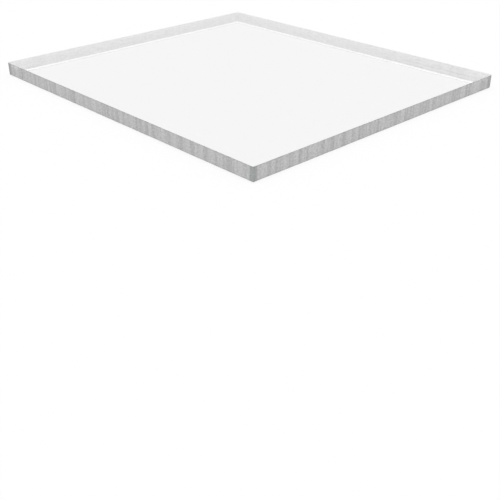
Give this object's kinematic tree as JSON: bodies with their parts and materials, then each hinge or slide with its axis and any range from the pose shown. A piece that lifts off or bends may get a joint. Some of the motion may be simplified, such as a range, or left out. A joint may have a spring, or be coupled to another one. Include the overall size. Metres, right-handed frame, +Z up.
{
  "type": "clear acrylic sheet",
  "caption": "Thick flat rectangular sheet of clear acrylic with polished faces and frosted saw-cut edges, for glazing, shelves, guards and displays.",
  "frame": {"origin": "middle of the underside", "axes": "+X along the long side, +Y along the short side, +Z up through the thickness to the top face"},
  "size_m": [0.4, 0.35, 0.015],
  "materials": {
    "clear_acrylic": "polished"
  },
  "bodies": {
    "root": {"acrylic_sheet": "clear_acrylic"}
  },
  "joints": []
}
